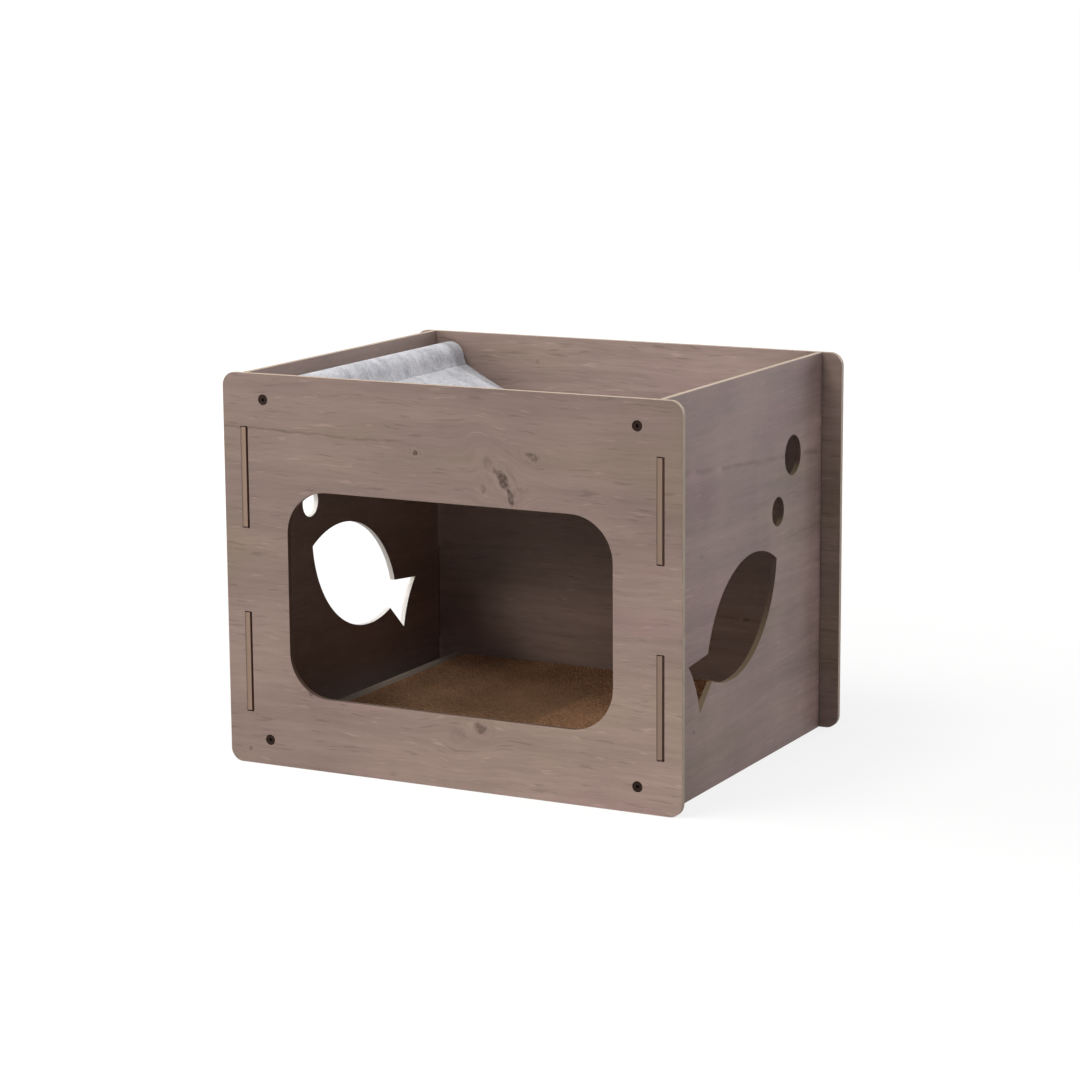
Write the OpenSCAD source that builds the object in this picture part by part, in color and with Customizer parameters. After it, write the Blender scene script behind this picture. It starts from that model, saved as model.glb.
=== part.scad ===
// Cat condo: a box of four slotted boards that four rods tie together. A plush hammock hangs
// between the upper rods, and two corrugated scratch pads lie on the ground inside the box.
// Millimetres, +Z up, front towards -Y, origin on the ground under the middle of the box.

/* [Box] */
// Width over the front panel
box_w = 450; // [420:1:500]
// Depth over the front and back panels
box_d = 352; // [320:1:400]
// Height of the four panels
box_h = 355; // [335:1:400]
// Thickness of the boards
board = 5; // [4:0.5:8]
// Radius of the front and back panels' corners
corner_r = 12; // [4:1:18]

/* [Door] */
// Width of the door opening
door_w = 321; // [260:1:335]
// Height of the door opening
door_h = 187; // [150:1:195]
// Radius of the door opening's corners
door_r = 40; // [10:1:60]
// Height of the sill under the door opening
door_sill = 66; // [45:1:75]

/* [Slots and tabs] */
// From a panel's side edge to the middle of a slot
slot_inset = 20.75; // [16:0.25:24]
// Length of a slot
slot_l = 92; // [70:1:110]
// Radius of a slot's corners
slot_r = 0.8; // [0.2:0.1:0.9]
// From a panel's top or bottom edge to the nearest end of a slot
slot_end = 47.5; // [40:0.5:55]
// Free play of a tab in its slot, on the right in the front panel and on the left in the back panel
tab_play = 2.5; // [0.4:0.1:3]
// Free play at each end of a tab
tab_end = 1; // [0.9:0.1:2]
// How far the play lets the side panels stand left of the middle
lean = 0.65; // [0:0.05:1.5]
// Clear space between the side panels' shoulders and the front and back panels
shoulder_gap = 1.5; // [0.2:0.1:2.5]
// How far the tabs stop short of the panels' outer faces
tab_sink = 0.4; // [0.1:0.1:2]

/* [Fish cut-out] */
// Length of the fish's body between its two points
fish_l = 172; // [130:1:185]
// Greatest width of the fish's body
fish_w = 94; // [60:1:100]
// Slope of the fish, nose up
fish_tilt = 27; // [10:1:40]
// From the middle of the panel to the middle of the fish
fish_y = -10; // [-25:1:10]
// Height of the fish's middle
fish_z = 141; // [125:0.5:160]
// From the fish's long axis to the upper tip of the tail
tail_up = 30.5; // [15:0.5:35]
// From the fish's long axis to the lower tip of the tail
tail_down = 21; // [15:0.5:35]
// From the body's hind point to the tips of the tail
tail_l = 25; // [12:0.5:32]
// From the body's hind point to where the sides of the tail would meet, inside the body
tail_root = 52; // [15:1:60]
// Depth of the hollow in the rear edge of the tail
tail_hollow = 3.5; // [0.5:0.5:6]

/* [Bubbles] */
// Diameter of the small bubble
bubble_1 = 27; // [16:1:32]
// From the middle of the panel to the small bubble's centre
bubble_1_y = 69; // [55:1:80]
// Height of the small bubble's centre
bubble_1_z = 222; // [215:1:230]
// Diameter of the big bubble
bubble_2 = 37; // [24:1:42]
// From the middle of the panel to the big bubble's centre
bubble_2_y = 102; // [90:1:115]
// Height of the big bubble's centre
bubble_2_z = 269; // [262:0.5:285]

/* [Rods] */
// Diameter of the rods
rod_dia = 21; // [16:0.5:24]
// From a panel's top or bottom edge to the rods' axes
rod_edge = 23; // [19:0.5:27]
// From a slot's inner side to the sleeve round the rod
sleeve_gap = 3; // [2:0.5:8]

/* [Screws and inserts] */
// Diameter of the screws' thread
screw_dia = 5; // [4:0.5:6]
// Length of a screw over its head
screw_l = 20; // [16:1:25]
// Diameter of a screw's countersunk head
head_dia = 9.4; // [8.4:0.2:10.4]
// Height of the straight rim of a head
head_rim = 0.4; // [0.2:0.1:0.6]
// How far a head sits below the panel's face
head_sink = 0.4; // [0.2:0.1:0.8]
// Size across the flats of the socket in a head
socket_af = 3; // [2.5:0.5:4]
// Depth of the socket in a head
socket_h = 1.8; // [1:0.1:2.2]
// Outer diameter of an insert nut
insert_dia = 9; // [8:0.5:11]
// Length of an insert nut
insert_l = 13; // [10:1:15]
// Diameter of the collar on an insert nut
collar_dia = 12; // [11.5:0.5:14]
// Thickness of the collar on an insert nut
collar_h = 1.2; // [0.8:0.1:2]

/* [Hammock] */
// Thickness of the plush
cloth = 3.2; // [2:0.1:4]
// Drop of the sling's middle below its seams
sling_sag = 45; // [25:1:52]
// From a rod's axis to the seam that closes its sleeve
seam_out = 17; // [15:0.5:30]
// Clear space between the hammock's ends and the panels
hammock_end = 4; // [2:0.5:12]
// Height of the folds that run into the sling from its seams
fold_h = 3; // [0:0.5:4]
// How far the front and back hems of the sling curl down
hem_curl = 5; // [0:0.5:6]

/* [Scratch pads] */
// Height of the pads
pad_h = 34; // [20:1:36]
// From the middle of the box to the seam between the two pads
pad_seam = 17.5; // [-30:0.5:30]
// Clear space beside the pads
pad_gap = 0.5; // [0.3:0.1:2]
// Clear space between the pads and the front and back panels
pad_end = 2; // [1:0.5:6]
// Thickness of one glued layer of corrugated board
flute = 4.5; // [3.5:0.5:7]
// Width of the groove that the fluting leaves between two layers
groove_w = 1.6; // [0.6:0.1:2.4]
// Depth of that groove
groove_h = 2; // [0.5:0.5:4]

/* [Hidden] */
$fn = 96;

// Colours of the boards, rods, fasteners, plush and cardboard
laminate = [0.58, 0.50, 0.47];
dowel = [0.63, 0.59, 0.55];
black_steel = [0.13, 0.10, 0.09];
zinc = [0.72, 0.70, 0.62];
plush = [0.78, 0.78, 0.80];
kraft = [0.62, 0.47, 0.33];

// Clearances: cuts run this far past a face, and fits have these radial gaps
over = 1;
screw_fit = 0.1;
thread_fit = 0.05;
insert_fit = 0.05;
cloth_fit = 0.5;
seam_fit = 0.5;
bore_end = 1.5;

// Places that several pieces share
inner_l = box_d - 2 * board;
slot_w = board + tab_play;
slot_x = box_w / 2 - slot_inset;
rod_r = rod_dia / 2;
sleeve_in = rod_r + cloth_fit;
sleeve_mid = sleeve_in + cloth / 2;
sleeve_r = sleeve_in + cloth;
rod_x = slot_x - slot_w / 2 - sleeve_gap - sleeve_r;
rod_low = rod_edge;
rod_high = box_h - rod_edge;
screw_reach = screw_l + head_sink - board;
bore_l = max(screw_reach, insert_l) + bore_end;

// Boards

// Upright rectangle with round corners, standing on y = 0
module rounded_rect(w, h, r) {
    translate([-w / 2, r]) square([w, h - 2 * r]);
    translate([r - w / 2, 0]) square([w - 2 * r, h]);
    for (x = [r - w / 2, w / 2 - r], y = [r, h - r]) translate([x, y]) circle(r);
}

// Heights of the middles of the lower and upper slots
slot_mids = [slot_end + slot_l / 2, box_h - slot_end - slot_l / 2];

module slots(shift) {
    for (x = [-slot_x, slot_x], z = slot_mids)
        translate([x + shift, z - slot_l / 2]) rounded_rect(slot_w, slot_l, slot_r);
}

module door() {
    translate([0, door_sill]) rounded_rect(door_w, door_h, door_r);
}

// Puts a child at the end of each rod, with the child's +Z along +Y
module at_rods() {
    for (x = [-rod_x, rod_x], z = [rod_low, rod_high])
        translate([x, 0, z]) rotate([-90, 0, 0]) children();
}

// An end board whose outer face is at y = 0 and whose inner face is at y = board
module end_board(with_door, slot_shift) {
    difference() {
        translate([0, board, 0]) rotate([90, 0, 0]) linear_extrude(board) difference() {
            rounded_rect(box_w, box_h, corner_r);
            slots(slot_shift);
            if (with_door) door();
        }
        at_rods() translate([0, 0, head_sink]) screw_body(screw_fit, over);
    }
}

module front_panel() {
    color(laminate) translate([0, -box_d / 2, 0]) end_board(true, tab_play / 2 - lean);
}

// The back slots lie so that the tabs lean the other way there, and no light shows past them
module back_panel() {
    color(laminate) rotate(180) translate([0, -box_d / 2, 0]) end_board(false, tab_play / 2 + lean);
}

// Fish: two equal arcs meet at the nose and the hind point, and a fan makes the tail
fish_arc = (pow(fish_l / 2, 2) + pow(fish_w / 2, 2)) / fish_w;
tail_half = (tail_up + tail_down) / 2;
hollow_arc = (pow(tail_half, 2) + pow(tail_hollow, 2)) / (2 * tail_hollow);
tip_x = -fish_l / 2 - tail_l;

module fish() {
    intersection_for (side = [-1, 1])
        translate([0, side * (fish_arc - fish_w / 2)]) circle(fish_arc);
    difference() {
        polygon([[tip_x, -tail_down], [tail_root - fish_l / 2, 0], [tip_x, tail_up]]);
        translate([tip_x + tail_hollow - hollow_arc, tail_up - tail_half]) circle(hollow_arc);
    }
}

module side_outline() {
    body_l = inner_l - 2 * shoulder_gap;
    tab_l = slot_l - 2 * tab_end;
    tab_reach = inner_l / 2 + board - tab_sink;
    difference() {
        union() {
            translate([-body_l / 2, 0]) square([body_l, box_h]);
            for (z = slot_mids) translate([-tab_reach, z - tab_l / 2]) square([2 * tab_reach, tab_l]);
        }
        translate([fish_y, fish_z]) rotate(fish_tilt) fish();
        translate([bubble_1_y, bubble_1_z]) circle(bubble_1 / 2);
        translate([bubble_2_y, bubble_2_z]) circle(bubble_2 / 2);
    }
}

// A side board in the plane x = 0, with the fish's nose towards +Y
module side_board() {
    translate([-board / 2, 0, 0]) rotate([90, 0, 90]) linear_extrude(board) side_outline();
}

module right_panel() {
    color(laminate) translate([slot_x - lean, 0, 0]) side_board();
}

module left_panel() {
    color(laminate) translate([-slot_x - lean, 0, 0]) rotate(180) side_board();
}

// Rods and fasteners

// A rod along +Z from z = 0, with a stepped bore for an insert nut in each end
module rod() {
    difference() {
        cylinder(r = rod_r, h = inner_l);
        rod_bore();
        translate([0, 0, inner_l]) mirror([0, 0, 1]) rod_bore();
    }
}

module rod_bore() {
    translate([0, 0, -over]) cylinder(d = insert_dia + 2 * insert_fit, h = bore_l + over);
    translate([0, 0, -over]) cylinder(d = collar_dia + 2 * insert_fit, h = collar_h + insert_fit + over);
}

module placed_rod(x, z) {
    color(dowel) translate([x, -inner_l / 2, z]) rotate([-90, 0, 0]) rod();
}

module upper_left_rod() { placed_rod(-rod_x, rod_high); }
module upper_right_rod() { placed_rod(rod_x, rod_high); }
module lower_left_rod() { placed_rod(-rod_x, rod_low); }
module lower_right_rod() { placed_rod(rod_x, rod_low); }

// A countersunk screw along +Z, grown by a radial gap and run out past its head by a lead
module screw_body(gap, lead) {
    cone_h = (head_dia - screw_dia) / 2;
    head_r = head_dia / 2 + gap;
    thread_r = screw_dia / 2 + gap;
    rotate_extrude() polygon([
        [0, -lead], [head_r, -lead], [head_r, head_rim],
        [thread_r, head_rim + cone_h], [thread_r, screw_l], [0, screw_l]
    ]);
}

module screw() {
    socket_r = socket_af / 2 / cos(30);
    difference() {
        screw_body(0, 0);
        translate([0, 0, -over]) cylinder(r = socket_r, h = socket_h + over, $fn = 6);
    }
}

// An insert nut along +Z, with its collar at z = 0
module insert_nut() {
    difference() {
        union() {
            cylinder(d = insert_dia, h = insert_l);
            cylinder(d = collar_dia, h = collar_h);
        }
        translate([0, 0, -over]) cylinder(d = screw_dia + 2 * thread_fit, h = insert_l + 2 * over);
    }
}

module screw_set() {
    color(black_steel) translate([0, head_sink - box_d / 2, 0]) at_rods() screw();
}

module insert_set() {
    color(zinc) translate([0, -inner_l / 2, 0]) at_rods() insert_nut();
}

module front_screws() { screw_set(); }
module back_screws() { rotate(180) screw_set(); }
module front_inserts() { insert_set(); }
module back_inserts() { rotate(180) insert_set(); }

// Hammock: one strip of plush, whose two edges wrap the upper rods and are sewn to the sling

// Counts of points: along a flap, round a rod, from the rod to the seam and along half the sling
flap_n = 4;
wrap_n = 15;
join_n = 4;
sling_n = 7;
rings = 5;

// The wrap starts and ends at these angles round the rod
wrap_from = 12;
wrap_to = 285;

sling_slope = atan(2 * sling_sag / (rod_x - seam_out));
seam_x = rod_x - seam_out * cos(sling_slope);
seam_z = rod_high - seam_out * sin(sling_slope);
hammock_half = inner_l / 2 - hammock_end;

function wrap_at(a) = [-rod_x, rod_high] + sleeve_mid * [cos(a), sin(a)];
function wrap_way(a) = [-sin(a), cos(a)];

// Smooth curve from p to q that leaves along u and arrives along v
function hermite(p, u, q, v, t) =
    let (k = norm(q - p))
    (2 * t ^ 3 - 3 * t ^ 2 + 1) * p + (t ^ 3 - 2 * t ^ 2 + t) * k * u
    + (3 * t ^ 2 - 2 * t ^ 3) * q + (t ^ 3 - t ^ 2) * k * v;

sling_way = [cos(sling_slope), -sin(sling_slope)];
sling_up = [sin(sling_slope), cos(sling_slope)];
seam = [-seam_x, seam_z];
flap_edge = seam + (cloth + seam_fit) * sling_up;

// Middle line of the strip, from the left flap's edge to the middle of the sling
left_line = concat(
    [for (i = [0:flap_n - 1])
        hermite(flap_edge, -sling_way, wrap_at(wrap_from), wrap_way(wrap_from), i / flap_n)],
    [for (i = [0:wrap_n - 1]) wrap_at(wrap_from + (wrap_to - wrap_from) * i / (wrap_n - 1))],
    [for (i = [1:join_n])
        hermite(wrap_at(wrap_to), wrap_way(wrap_to), seam, sling_way, i / join_n)],
    [for (i = [1:sling_n])
        let (x = -seam_x * (1 - i / sling_n))
        [x, seam_z - sling_sag * (1 - pow(x / seam_x, 2))]]
);
half_n = len(left_line);
line = concat(left_line, [for (i = [half_n - 2:-1:0]) [-left_line[i].x, left_line[i].y]]);
line_n = len(line);

function line_way(i) =
    let (d = line[min(i + 1, line_n - 1)] - line[max(i - 1, 0)])
    d / norm(d);

// Only the sling folds, and the sleeves stay round
sling_first = flap_n + wrap_n + join_n - 1;
function is_sling(i) = i > sling_first && i < line_n - 1 - sling_first;

// Folds run in from both seams at a slant and die out in the middle, and the hems curl down
fold_waves = 270;
fold_slant = 150;
function fold_drop(i, y) =
    let (v = y / hammock_half, u = line[i].x / seam_x)
    is_sling(i)
        ? fold_h * sin(180 * (1 - abs(u))) * sin(fold_waves * v + fold_slant * u)
          - hem_curl * cos(90 * u) * pow(abs(v), 6)
        : 0;

// Cross-sections lie closer together towards the hems
ring_y = [for (k = [-rings:rings]) hammock_half * sin(90 * k / rings)];
ring_n = len(ring_y);

// Points of the upper face, then of the lower face
function strip_point(i, y, side) =
    let (w = line_way(i), p = line[i] + side * cloth / 2 * [-w.y, w.x])
    [p.x, y, p.y + fold_drop(i, y)];
strip_points = [
    for (side = [1, -1], y = ring_y, i = [0:line_n - 1]) strip_point(i, y, side)
];
function at(side, k, i) = side * ring_n * line_n + k * line_n + i;

// Two triangles of the four-cornered patch a, b, c, d
function patch(a, b, c, d) = [[a, b, c], [a, c, d]];
strip_faces = [
    for (k = [0:ring_n - 2], i = [0:line_n - 2]) each concat(
        patch(at(0, k, i), at(0, k + 1, i), at(0, k + 1, i + 1), at(0, k, i + 1)),
        patch(at(1, k, i), at(1, k, i + 1), at(1, k + 1, i + 1), at(1, k + 1, i))
    ),
    for (i = [0:line_n - 2]) each concat(
        patch(at(0, 0, i), at(0, 0, i + 1), at(1, 0, i + 1), at(1, 0, i)),
        patch(at(0, ring_n - 1, i + 1), at(0, ring_n - 1, i), at(1, ring_n - 1, i), at(1, ring_n - 1, i + 1))
    ),
    for (k = [0:ring_n - 2]) each concat(
        patch(at(0, k + 1, 0), at(0, k, 0), at(1, k, 0), at(1, k + 1, 0)),
        patch(at(0, k, line_n - 1), at(0, k + 1, line_n - 1), at(1, k + 1, line_n - 1), at(1, k, line_n - 1))
    )
];

module hammock() {
    color(plush) polyhedron(strip_points, strip_faces, convexity = 6);
}

// Scratch pads: layers of corrugated board on edge, glued side by side

pad_reach = rod_x - rod_r - pad_gap;
pad_l = inner_l - 2 * pad_end;

// Cross-section of a pad, with the grooves of its layers on both faces
module pad_outline(w) {
    layers = floor(w / flute);
    difference() {
        square([w, pad_h]);
        for (i = [1:layers - 1], z = [-over, pad_h - groove_h])
            translate([i * w / layers - groove_w / 2, z]) square([groove_w, groove_h + over]);
    }
}

// A pad between two places along X
module scratch_pad(from, to) {
    color(kraft) translate([from, pad_l / 2, 0]) rotate([90, 0, 0])
        linear_extrude(pad_l) pad_outline(to - from);
}

module left_scratch_pad() { scratch_pad(-pad_reach, pad_seam - pad_gap / 2); }
module right_scratch_pad() { scratch_pad(pad_seam + pad_gap / 2, pad_reach); }

front_panel();
back_panel();
left_panel();
right_panel();
upper_left_rod();
upper_right_rod();
lower_left_rod();
lower_right_rod();
front_screws();
back_screws();
front_inserts();
back_inserts();
hammock();
left_scratch_pad();
right_scratch_pad();
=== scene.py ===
# Cat condo: wood-print boards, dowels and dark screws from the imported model, with a plush
# hammock and two corrugated scratch pads made here. Metres, +Z up, front towards -Y.
import math
import random
from collections import namedtuple

import bmesh
import bpy
from mathutils import Matrix, Vector, noise


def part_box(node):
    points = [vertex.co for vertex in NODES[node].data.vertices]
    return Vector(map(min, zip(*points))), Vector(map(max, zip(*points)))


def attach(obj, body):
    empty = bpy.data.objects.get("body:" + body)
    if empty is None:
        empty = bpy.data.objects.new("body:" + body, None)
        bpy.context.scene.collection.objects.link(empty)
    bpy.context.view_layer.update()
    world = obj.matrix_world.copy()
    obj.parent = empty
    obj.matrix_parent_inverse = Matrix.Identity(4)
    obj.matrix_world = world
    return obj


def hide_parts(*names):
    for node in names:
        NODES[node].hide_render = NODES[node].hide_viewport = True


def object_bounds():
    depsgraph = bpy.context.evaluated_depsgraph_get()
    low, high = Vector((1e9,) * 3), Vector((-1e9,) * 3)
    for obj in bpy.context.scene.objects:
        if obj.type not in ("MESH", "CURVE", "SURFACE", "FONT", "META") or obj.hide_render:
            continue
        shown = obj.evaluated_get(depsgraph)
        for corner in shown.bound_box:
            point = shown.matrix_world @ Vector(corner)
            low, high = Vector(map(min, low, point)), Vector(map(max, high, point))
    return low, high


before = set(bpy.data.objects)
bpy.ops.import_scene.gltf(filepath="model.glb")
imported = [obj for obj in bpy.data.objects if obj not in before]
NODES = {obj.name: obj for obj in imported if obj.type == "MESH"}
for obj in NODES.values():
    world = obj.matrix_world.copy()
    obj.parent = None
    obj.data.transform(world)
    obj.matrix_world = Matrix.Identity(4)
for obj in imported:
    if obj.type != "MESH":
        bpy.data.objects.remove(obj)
CAD_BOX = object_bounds()
MM = 0.001


# Camera, fitted to the photograph's straight edges

FRAME_PX = 1080
FOCAL_PX = 3102.1
SENSOR_MM = 36.0
CAMERA_AT = Vector((1.2880, -2.4697, 0.7136))
CAMERA_AZIMUTH = math.radians(27.543)
CAMERA_ELEVATION = math.radians(10.623)
CAMERA_ROLL = math.radians(-0.375)
CLIP_FAR = 100.0


def view_axes(azimuth, elevation, roll):
    """Right, up and forward directions of a camera that looks along +Y at azimuth 0."""
    forward = Vector((
        -math.sin(azimuth) * math.cos(elevation),
        math.cos(azimuth) * math.cos(elevation),
        -math.sin(elevation),
    ))
    level = Vector((math.cos(azimuth), math.sin(azimuth), 0.0))
    above = level.cross(forward)
    right = math.cos(roll) * level + math.sin(roll) * above
    up = math.cos(roll) * above - math.sin(roll) * level
    return right, up, forward


def make_camera():
    data = bpy.data.cameras.new("camera")
    data.sensor_fit = "HORIZONTAL"
    data.sensor_width = SENSOR_MM
    data.lens = SENSOR_MM * FOCAL_PX / FRAME_PX
    data.clip_end = CLIP_FAR
    camera = bpy.data.objects.new("camera", data)
    bpy.context.scene.collection.objects.link(camera)
    right, up, forward = view_axes(CAMERA_AZIMUTH, CAMERA_ELEVATION, CAMERA_ROLL)
    turn = Matrix((right, up, -forward)).transposed().to_4x4()
    camera.matrix_world = Matrix.Translation(CAMERA_AT) @ turn
    bpy.context.scene.camera = camera


# Node trees

# A noise: its cells per metre along each axis, its detail, roughness and seed
Texture = namedtuple("Texture", "cells detail roughness seed")
# Sockets of a Mix node that mixes colours
MIX_FACTOR, MIX_LOW, MIX_HIGH, MIX_RESULT = 0, 6, 7, 2
WHITE = (1.0, 1.0, 1.0)


class Graph:
    """Builds one node tree: each method adds nodes and returns an output socket."""

    def __init__(self, tree):
        self.tree = tree
        tree.nodes.clear()

    def put(self, socket, value):
        if isinstance(value, bpy.types.NodeSocket):
            self.tree.links.new(value, socket)
        elif socket.type == "RGBA":
            socket.default_value = (*value, 1.0)
        else:
            socket.default_value = value

    def add(self, kind, inputs=None, **settings):
        made = self.tree.nodes.new("ShaderNode" + kind)
        for name, value in settings.items():
            setattr(made, name, value)
        for name, value in (inputs or {}).items():
            self.put(made.inputs[name], value)
        return made

    def math(self, operation, *values):
        made = self.add("Math", operation=operation)
        for socket, value in zip(made.inputs, values):
            self.put(socket, value)
        return made.outputs[0]

    def total(self, *values):
        result = values[0]
        for value in values[1:]:
            result = self.math("ADD", result, value)
        return result

    def times(self, *values):
        result = values[0]
        for value in values[1:]:
            result = self.math("MULTIPLY", result, value)
        return result

    def swing(self, value, size):
        """A value from 0 to 1 becomes one from minus half the size to plus half the size."""
        return self.math("MULTIPLY_ADD", value, size, -size / 2)

    def step(self, value, low, high, to_low=0.0, to_high=1.0):
        """Smooth step from to_low below low to to_high above high."""
        made = self.add("MapRange", interpolation_type="SMOOTHSTEP")
        for name, number in (
            ("Value", value), ("From Min", low), ("From Max", high),
            ("To Min", to_low), ("To Max", to_high),
        ):
            self.put(made.inputs[name], number)
        return made.outputs["Result"]

    def mix(self, factor, low, high):
        made = self.add("Mix", data_type="RGBA")
        self.put(made.inputs[MIX_FACTOR], factor)
        self.put(made.inputs[MIX_LOW], low)
        self.put(made.inputs[MIX_HIGH], high)
        return made.outputs[MIX_RESULT]

    def shade(self, colour, value):
        """A colour times a number."""
        made = self.add("VectorMath", operation="SCALE")
        self.put(made.inputs[0], colour)
        self.put(made.inputs["Scale"], value)
        return made.outputs[0]

    def vector(self, x, y, z):
        return self.add("CombineXYZ", {"X": x, "Y": y, "Z": z}).outputs[0]

    def stretch(self, vector, sizes):
        made = self.add("VectorMath", operation="MULTIPLY")
        self.put(made.inputs[0], vector)
        self.put(made.inputs[1], sizes)
        return made.outputs[0]

    def noise(self, vector, texture, seed=0.0):
        """A texture's noise; the seed is added to the texture's own."""
        made = self.add(
            "TexNoise",
            {
                "Vector": self.stretch(vector, texture.cells), "W": seed + texture.seed,
                "Scale": 1.0, "Detail": texture.detail, "Roughness": texture.roughness,
            },
            noise_dimensions="4D",
        )
        return made.outputs[0]

    def place(self):
        """Place of the shaded point in the object's own frame."""
        return self.add("TexCoord").outputs["Object"]

    def split(self, vector):
        return self.add("SeparateXYZ", {"Vector": vector}).outputs

    def bump(self, height, depth, strength, base=None):
        inputs = {"Height": height, "Distance": depth, "Strength": strength}
        if base is not None:
            inputs["Normal"] = base
        return self.add("Bump", inputs).outputs[0]

    def surface(self, **inputs):
        """A Principled surface; underscores stand for spaces in the sockets' names."""
        shader = self.add("BsdfPrincipled", {k.replace("_", " "): v for k, v in inputs.items()})
        self.add("OutputMaterial", {"Surface": shader.outputs[0]})


def new_graph(name):
    material = bpy.data.materials.new(name)
    material.use_nodes = True
    return material, Graph(material.node_tree)


def dress(node, material):
    """Gives a CAD node its finish."""
    slots = NODES[node].data.materials
    slots.clear()
    slots.append(material)


# Boards: printed wood on both faces and raw fibreboard on the cut edges, with painted shade and
# painted light in place of raw fibre on the walls of cut-outs, the tabs and the slots

WOOD = (0.287, 0.207, 0.178)
# The right panel's print, with the cool tint of the light on that side painted into it
WOOD_LIT_RIGHT = (0.282, 0.197, 0.178)
KNOT = (0.085, 0.052, 0.040)
GREENER = (0.975, 1.005, 0.925)
ROSIER = (1.015, 0.960, 1.010)
FIBRE_PALE = (0.500, 0.400, 0.308)
FIBRE_DARK = (0.370, 0.280, 0.205)
# Painted shade: the side panels' end faces, darker as if shaded in the slots
FIBRE_END_SHADE = (0.335, 0.232, 0.176)
# Painted shade on the tabs and slots where they meet
TAB_SHADE = (0.105, 0.050, 0.036)
# Cut-out walls: painted shade on the front and back panels' walls and the right panel's sideways
# walls, an olive painted light on the right panel's upward walls, and a pale painted light on all of
# the left panel's walls
CUT_SHADE = (0.110, 0.066, 0.049)
CUT_LIT_OLIVE = (0.265, 0.198, 0.130)
CUT_LIT = (0.900, 0.880, 0.850)
BOARD_H = CAD_BOX[1].z - CAD_BOX[0].z
OUTLINE_BAND = 12 * MM
# Distances from its middle between which a board's cut-outs and its slots or tabs lie, by the axis
# of its thickness; -1 takes in the middle itself
CUT_ZONE = {"X": (-1.0, 165 * MM), "Y": (-1.0, 190 * MM)}
TAB_ZONE = {"X": (170 * MM, 200 * MM), "Y": (190 * MM, 215 * MM)}
# A face looks along an axis when its normal has more than this along it
FACE_LIMIT = 0.9
# Painted light and shade on cut-out walls: how a wall's colour turns from its sideways colour to its
# upper one with the normal's rise
LIT_UP_RANGE = (0.30, 0.85)
# Edges: the bevel that rounds them in the shading, and how the turned normal shows raw fibre
WEAR_RADIUS = 0.5 * MM
WEAR_SAMPLES = 4
WEAR_RANGE = (0.80, 0.985, 0.5, 0.0)
PRINT_ROUGHNESS = (0.4, 1.2, 0.46, 0.62)
TAB_DULL = 0.35
PRINT_DEPTH = 0.12 * MM
PRINT_STRENGTH = 0.5
BOARD_SPECULAR = 0.35

# Noises of the boards: along the grain, through the board and upright; a look's seed is added to the
# first ten
SWAY = Texture((3.5, 1.0, 9.0), 2.0, 0.5, 0.0)
BANDS = Texture((2.2, 1.0, 34.0), 3.0, 0.55, 1.0)
STREAKS = Texture((9.0, 1.0, 170.0), 5.0, 0.62, 2.0)
FIBRES = Texture((45.0, 1.0, 900.0), 2.0, 0.5, 3.0)
PORES = Texture((40.0, 1.0, 400.0), 1.0, 0.5, 4.0)
FLECKS = Texture((45.0, 1.0, 340.0), 1.0, 0.5, 5.0)
CLOUDS = Texture((9.0, 1.0, 14.0), 3.0, 0.55, 6.0)
UPRIGHTS = Texture((26.0, 1.0, 4.0), 2.0, 0.5, 7.0)
TINTS = Texture((5.0, 1.0, 16.0), 2.0, 0.5, 8.0)
RIPPLE = Texture((30.0, 1.0, 48.0), 2.0, 0.5, 9.0)
KNOT_SIDE = Texture((85.0, 1.0, 85.0), 3.0, 0.6, 12.0)
KNOT_RISE = Texture((85.0, 1.0, 85.0), 3.0, 0.6, 13.0)
KNOT_MOTTLE = Texture((320.0, 1.0, 320.0), 2.0, 0.5, 14.0)
LINE_WANDER = Texture((14.0, 1.0, 1.0), 3.0, 0.6, 0.0)
LINE_BREAKS = Texture((38.0, 1.0, 1.0), 1.0, 0.5, 7.0)
SAWDUST = Texture((1500.0, 1500.0, 1500.0), 2.0, 0.6, 3.0)
PRESSED = Texture((260.0, 260.0, 90.0), 3.0, 0.6, 4.0)

# Grain: how far it sways up and down, where pores and flecks start, and what each part adds
SWAY_SIZE = 22 * MM
RIPPLE_SIZE = 7 * MM
PORE_RANGE = (0.62, 0.72)
FLECK_RANGE = (0.64, 0.74)
BAND_SHARE = 0.40
STREAK_SHARE = 0.42
FIBRE_SHARE = 0.22
CLOUD_SHARE = 0.36
PORE_SHARE = -0.20
FLECK_SHARE = 0.22
FIBRE_HEIGHT = 0.6
PORE_HEIGHT = -0.5
# Painted light on the lower right corner: from where to where it grows, and the height where it ends
LIT_CORNER_RANGE = (-200 * MM, 200 * MM)
LIT_CORNER_TOP = 330 * MM
# Tints: where the noise turns greener or rosier, and how much greener the boards' ends are
GREEN_RANGE = (0.30, 0.46)
ROSE_RANGE = (0.54, 0.68)
GREEN_ENDS = (200 * MM, 225 * MM, 0.0, 0.10)
# Raw fibreboard: the sawdust's share, and how dark turns to pale
RAW_SHARE = 0.5
RAW_RANGE = (0.30, 0.68)
# Knots' irregular shape, mottling, dark core, bent grain around them and rings
KNOT_WARP_X = 11 * MM
KNOT_WARP_Z = 9 * MM
MOTTLE_RANGE = (0.38, 0.62, 0.55, 1.15)
KNOT_CORE = (0.2, 1.3)
KNOT_FALLOFF = -0.12
KNOT_BEND = 0.7
RING_RATE = 4.0
RING_SHARE = 0.16
# Dark lines' wander, soft ends in mm and gaps
LINE_SWING = 14 * MM
LINE_START = 12
LINE_END = 25
LINE_GAPS = (0.34, 0.52)
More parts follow.
